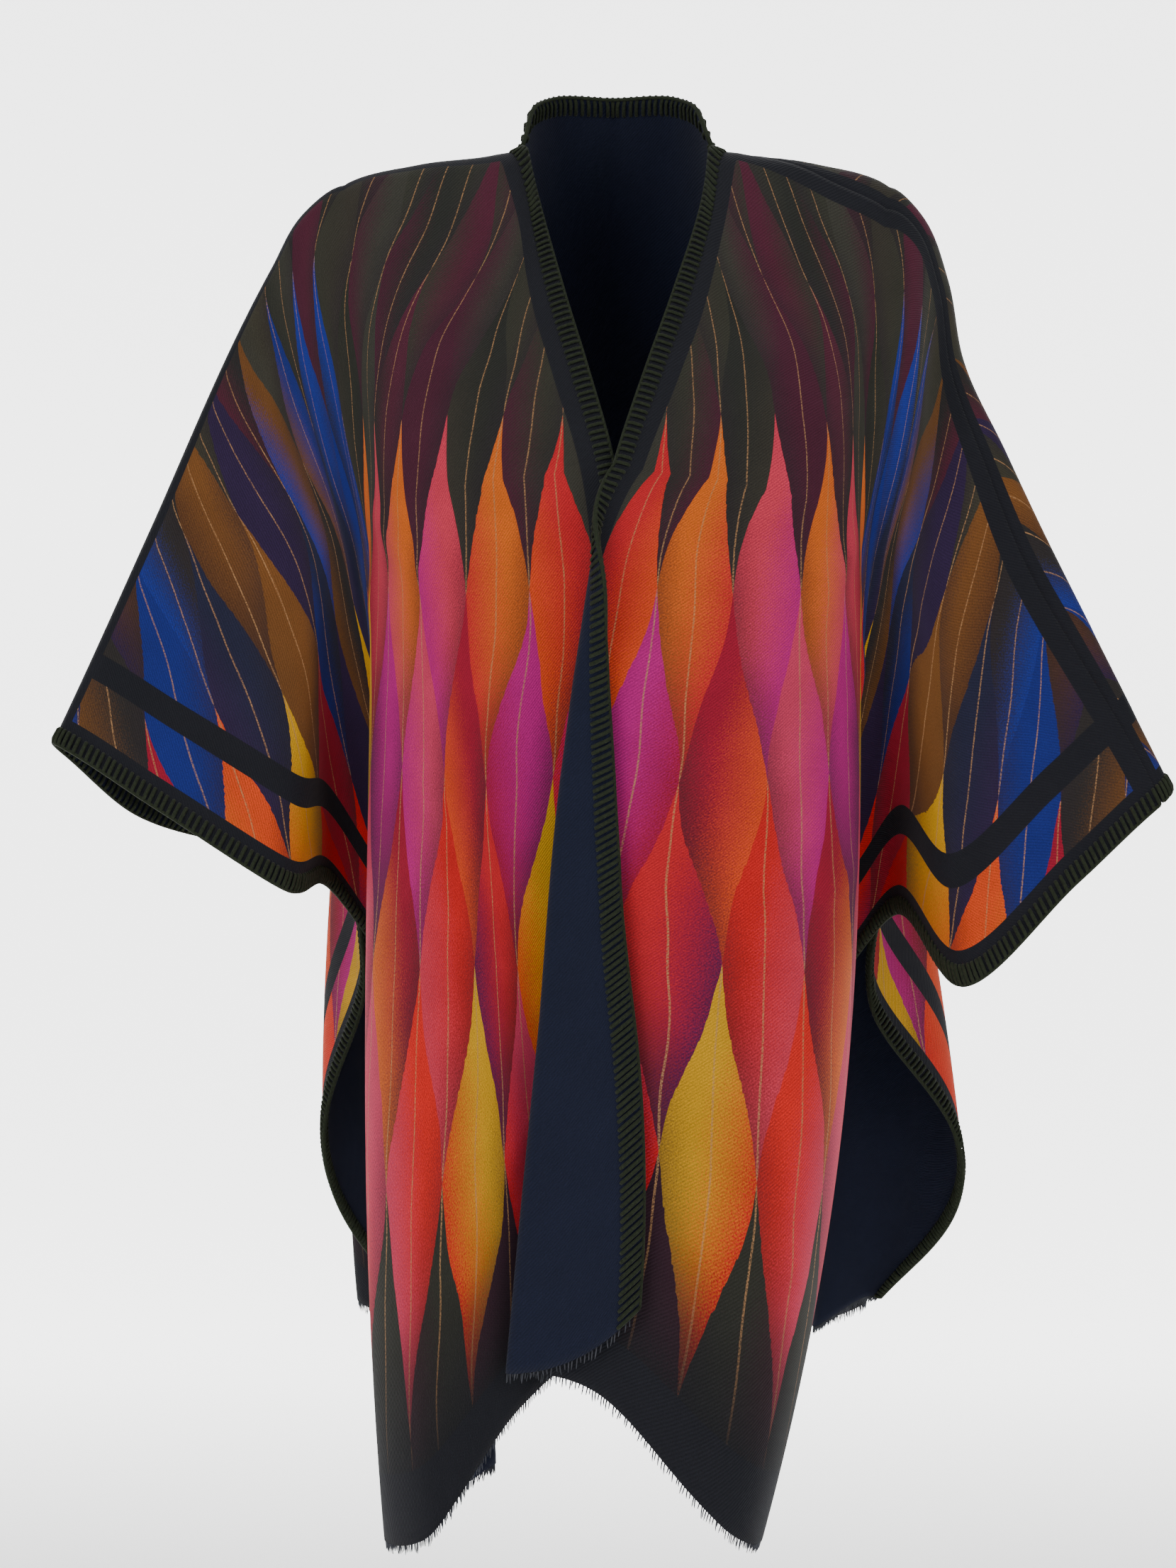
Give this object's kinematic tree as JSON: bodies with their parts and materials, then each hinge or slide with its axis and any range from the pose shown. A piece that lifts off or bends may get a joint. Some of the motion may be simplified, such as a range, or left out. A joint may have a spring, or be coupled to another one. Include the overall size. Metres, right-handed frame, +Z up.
{
  "type": "cape",
  "caption": "Open-front wool cape with a V neck, wide sleeves formed by the drape, a turned-back front edge and hanging folds, in its worn form.",
  "frame": {"origin": "midway between the two neck points, where the wearer's neck and shoulders carry the cape", "axes": "+Z up, front towards -Y, +X towards the picture's right (the wearer's left)"},
  "size_m": [0.7086, 0.3566, 0.9727],
  "materials": {
    "front_left_cloth": "matte napped wool twill",
    "front_right_cloth": "matte napped wool twill",
    "back_cloth": "matte napped wool twill"
  },
  "bodies": {
    "root": {"front_left": "front_left_cloth", "front_right": "front_right_cloth", "back": "back_cloth"}
  },
  "joints": []
}
